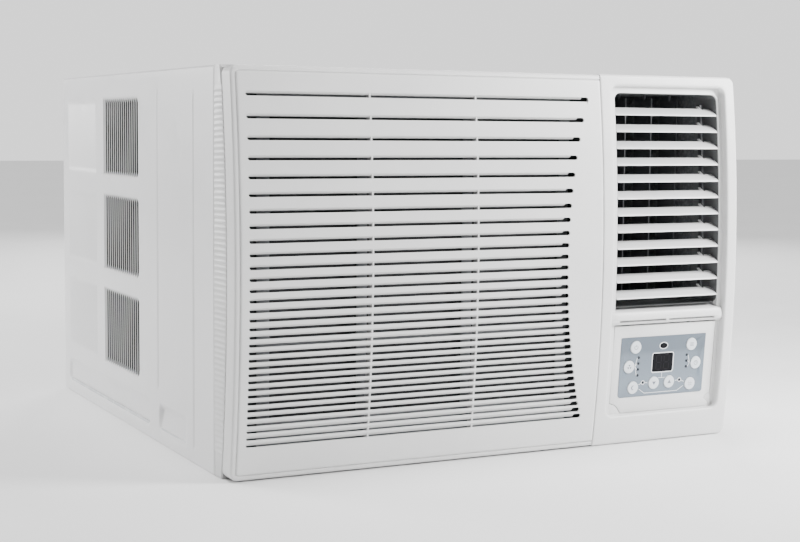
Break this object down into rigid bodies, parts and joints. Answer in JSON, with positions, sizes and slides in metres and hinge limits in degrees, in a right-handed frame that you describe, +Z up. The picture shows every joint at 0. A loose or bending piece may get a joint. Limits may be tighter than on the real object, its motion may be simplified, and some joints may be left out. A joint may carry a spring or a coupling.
{
  "type": "window air conditioner",
  "caption": "Window air conditioner with a bowed slotted intake grille, louvred outlet, control panel, sheet metal case and working fan, coils and compressor inside.",
  "frame": {"origin": "on the floor under the middle of the overall box", "axes": "+X to the right of someone facing the front, +Y from the front to the back, +Z up; the front faces -Y"},
  "size_m": [0.65, 0.675, 0.437],
  "materials": {
    "case_paint": "fine textured baked enamel, pale grey white",
    "front_plastic": "fine matt moulded plastic, off-white",
    "vane_plastic": "satin moulded plastic, off-white",
    "filter_plastic": "natural moulded plastic",
    "filter_net": "woven nylon net",
    "overlay_film": "printed matt film, blue grey",
    "button_plastic": "satin moulded plastic, pale grey blue",
    "dark_window": "smoked gloss window",
    "led_lens": "clear diffused lens",
    "board": "solder mask on glass board",
    "galvanised": "galvanised sheet with faint spangle",
    "fin_aluminium": "bare fin stock",
    "copper_tube": "drawn copper tube, lightly tarnished",
    "steel": "bright zinc plated steel",
    "scroll_plastic": "moulded expanded plastic",
    "fan_plastic": "black moulded plastic",
    "black_enamel": "black enamel",
    "black_rubber": "moulded rubber"
  },
  "bodies": {
    "case": {"base_pan": "galvanised", "cabinet_left_panel": "case_paint", "cabinet_right_panel": "case_paint", "cabinet_top_panel": "case_paint", "rear_guard": "case_paint", "guard_screws": "steel", "front_frame": "front_plastic", "grille_hinge_pins": "steel", "swing_motor": "steel", "control_bezel": "front_plastic", "membrane_overlay": "overlay_film", "display_module": "dark_window", "ir_receiver": "dark_window", "indicator_leds": "led_lens", "control_board": "board", "evaporator_coil": "fin_aluminium", "condenser_coil": "fin_aluminium", "condenser_shroud": "galvanised", "blower_scroll": "scroll_plastic", "fan_motor": "black_enamel", "motor_bracket": "galvanised", "compressor": "black_enamel", "compressor_mounts": "black_rubber", "accumulator": "black_enamel", "refrigerant_pipes": "copper_tube", "electrical_box": "galvanised", "cord_gland": "black_rubber"},
    "grille": {"intake_grille": "front_plastic"},
    "filter": {"filter_frame": "filter_plastic", "filter_mesh": "filter_net"},
    "rotor": {"motor_shaft": "steel", "blower_wheel": "fan_plastic", "condenser_fan": "fan_plastic"},
    "vane_01": {"vane_01": "vane_plastic"},
    "vane_02": {"vane_02": "vane_plastic"},
    "vane_03": {"vane_03": "vane_plastic"},
    "vane_04": {"vane_04": "vane_plastic"},
    "vane_05": {"vane_05": "vane_plastic"},
    "vane_06": {"vane_06": "vane_plastic"},
    "vane_07": {"vane_07": "vane_plastic"},
    "vane_08": {"vane_08": "vane_plastic"},
    "vane_09": {"vane_09": "vane_plastic"},
    "vane_10": {"vane_10": "vane_plastic"},
    "vane_11": {"vane_11": "vane_plastic"},
    "vane_12": {"vane_12": "vane_plastic"},
    "vane_link": {"vane_link": "vane_plastic"},
    "guide_1": {"guide_blade_1": "vane_plastic", "swing_dog": "vane_plastic"},
    "guide_2": {"guide_blade_2": "vane_plastic"},
    "guide_3": {"guide_blade_3": "vane_plastic"},
    "guide_4": {"guide_blade_4": "vane_plastic"},
    "guide_link": {"guide_link": "vane_plastic"},
    "button_power": {"button_power": "button_plastic"},
    "button_mode": {"button_mode": "button_plastic"},
    "button_fan": {"button_fan": "button_plastic"},
    "button_timer": {"button_timer": "button_plastic"},
    "button_sleep": {"button_sleep": "button_plastic"},
    "button_swing": {"button_swing": "button_plastic"},
    "button_down": {"button_down": "button_plastic"},
    "button_up": {"button_up": "button_plastic"}
  },
  "joints": [
    {"name": "grille_swing", "type": "hinge", "parent": "case", "child": "grille", "pos_m": [0, -0.3045, 0.43], "axis": [-1, 0, 0], "range_deg": [0, 70]},
    {"name": "filter_lift", "type": "slide", "parent": "grille", "child": "filter", "axis": [0, 0, 1], "range_m": [0, 0.25]},
    {"name": "rotor_spin", "type": "hinge", "parent": "case", "child": "rotor", "pos_m": [-0.06, 0, 0.2185], "axis": [0, 1, 0], "continuous": true},
    {"name": "vane_01_tilt", "type": "hinge", "parent": "case", "child": "vane_01", "pos_m": [0.2275, -0.31008, 0.395], "axis": [1, 0, 0], "range_deg": [-28, 20]},
    {"name": "vane_02_tilt", "type": "hinge", "parent": "case", "child": "vane_02", "pos_m": [0.2275, -0.31228, 0.37536], "axis": [1, 0, 0], "range_deg": [-28, 20]},
    {"name": "vane_03_tilt", "type": "hinge", "parent": "case", "child": "vane_03", "pos_m": [0.2275, -0.31421, 0.35573], "axis": [1, 0, 0], "range_deg": [-28, 20]},
    {"name": "vane_04_tilt", "type": "hinge", "parent": "case", "child": "vane_04", "pos_m": [0.2275, -0.31588, 0.33609], "axis": [1, 0, 0], "range_deg": [-28, 20]},
    {"name": "vane_05_tilt", "type": "hinge", "parent": "case", "child": "vane_05", "pos_m": [0.2275, -0.3173, 0.31645], "axis": [1, 0, 0], "range_deg": [-28, 20]},
    {"name": "vane_06_tilt", "type": "hinge", "parent": "case", "child": "vane_06", "pos_m": [0.2275, -0.31845, 0.29682], "axis": [1, 0, 0], "range_deg": [-28, 20]},
    {"name": "vane_07_tilt", "type": "hinge", "parent": "case", "child": "vane_07", "pos_m": [0.2275, -0.31935, 0.27718], "axis": [1, 0, 0], "range_deg": [-28, 20]},
    {"name": "vane_08_tilt", "type": "hinge", "parent": "case", "child": "vane_08", "pos_m": [0.2275, -0.31999, 0.25755], "axis": [1, 0, 0], "range_deg": [-28, 20]},
    {"name": "vane_09_tilt", "type": "hinge", "parent": "case", "child": "vane_09", "pos_m": [0.2275, -0.32037, 0.23791], "axis": [1, 0, 0], "range_deg": [-28, 20]},
    {"name": "vane_10_tilt", "type": "hinge", "parent": "case", "child": "vane_10", "pos_m": [0.2275, -0.3205, 0.21827], "axis": [1, 0, 0], "range_deg": [-28, 20]},
    {"name": "vane_11_tilt", "type": "hinge", "parent": "case", "child": "vane_11", "pos_m": [0.2275, -0.32037, 0.19864], "axis": [1, 0, 0], "range_deg": [-28, 20]},
    {"name": "vane_12_tilt", "type": "hinge", "parent": "case", "child": "vane_12", "pos_m": [0.2275, -0.31998, 0.179], "axis": [1, 0, 0], "range_deg": [-28, 20]},
    {"name": "vane_link_turn", "type": "hinge", "parent": "vane_01", "child": "vane_link", "pos_m": [0.29145, -0.29904, 0.40087], "axis": [1, 0, 0], "range_deg": [-20, 28]},
    {"name": "guide_1_turn", "type": "hinge", "parent": "case", "child": "guide_1", "pos_m": [0.17012, -0.2485, 0.29], "axis": [0, 0, 1], "range_deg": [-35, 35]},
    {"name": "guide_2_turn", "type": "hinge", "parent": "case", "child": "guide_2", "pos_m": [0.20838, -0.2485, 0.29], "axis": [0, 0, 1], "range_deg": [-35, 35]},
    {"name": "guide_3_turn", "type": "hinge", "parent": "case", "child": "guide_3", "pos_m": [0.24663, -0.2485, 0.29], "axis": [0, 0, 1], "range_deg": [-35, 35]},
    {"name": "guide_4_turn", "type": "hinge", "parent": "case", "child": "guide_4", "pos_m": [0.28487, -0.2485, 0.29], "axis": [0, 0, 1], "range_deg": [-35, 35]},
    {"name": "guide_link_turn", "type": "hinge", "parent": "guide_1", "child": "guide_link", "pos_m": [0.17012, -0.2395, 0.173], "axis": [0, 0, 1], "range_deg": [-35, 35]},
    {"name": "button_power_press", "type": "slide", "parent": "case", "child": "button_power", "axis": [0, 0.9963, 0.0854], "range_m": [0, 0.001], "stiffness_N_per_m": 400},
    {"name": "button_mode_press", "type": "slide", "parent": "case", "child": "button_mode", "axis": [0, 0.9963, 0.0854], "range_m": [0, 0.001], "stiffness_N_per_m": 400},
    {"name": "button_fan_press", "type": "slide", "parent": "case", "child": "button_fan", "axis": [0, 0.9963, 0.0854], "range_m": [0, 0.001], "stiffness_N_per_m": 400},
    {"name": "button_timer_press", "type": "slide", "parent": "case", "child": "button_timer", "axis": [0, 0.9963, 0.0854], "range_m": [0, 0.001], "stiffness_N_per_m": 400},
    {"name": "button_sleep_press", "type": "slide", "parent": "case", "child": "button_sleep", "axis": [0, 0.9963, 0.0854], "range_m": [0, 0.001], "stiffness_N_per_m": 400},
    {"name": "button_swing_press", "type": "slide", "parent": "case", "child": "button_swing", "axis": [0, 0.9963, 0.0854], "range_m": [0, 0.001], "stiffness_N_per_m": 400},
    {"name": "button_down_press", "type": "slide", "parent": "case", "child": "button_down", "axis": [0, 0.9963, 0.0854], "range_m": [0, 0.001], "stiffness_N_per_m": 400},
    {"name": "button_up_press", "type": "slide", "parent": "case", "child": "button_up", "axis": [0, 0.9963, 0.0854], "range_m": [0, 0.001], "stiffness_N_per_m": 400}
  ],
  "couplings": [
    {"joint": "vane_02_tilt", "follows": "vane_01_tilt", "ratio": 1},
    {"joint": "vane_03_tilt", "follows": "vane_01_tilt", "ratio": 1},
    {"joint": "vane_04_tilt", "follows": "vane_01_tilt", "ratio": 1},
    {"joint": "vane_05_tilt", "follows": "vane_01_tilt", "ratio": 1},
    {"joint": "vane_06_tilt", "follows": "vane_01_tilt", "ratio": 1},
    {"joint": "vane_07_tilt", "follows": "vane_01_tilt", "ratio": 1},
    {"joint": "vane_08_tilt", "follows": "vane_01_tilt", "ratio": 1},
    {"joint": "vane_09_tilt", "follows": "vane_01_tilt", "ratio": 1},
    {"joint": "vane_10_tilt", "follows": "vane_01_tilt", "ratio": 1},
    {"joint": "vane_11_tilt", "follows": "vane_01_tilt", "ratio": 1},
    {"joint": "vane_12_tilt", "follows": "vane_01_tilt", "ratio": 1},
    {"joint": "vane_link_turn", "follows": "vane_01_tilt", "ratio": -1},
    {"joint": "guide_2_turn", "follows": "guide_1_turn", "ratio": 1},
    {"joint": "guide_3_turn", "follows": "guide_1_turn", "ratio": 1},
    {"joint": "guide_4_turn", "follows": "guide_1_turn", "ratio": 1},
    {"joint": "guide_link_turn", "follows": "guide_1_turn", "ratio": -1}
  ]
}
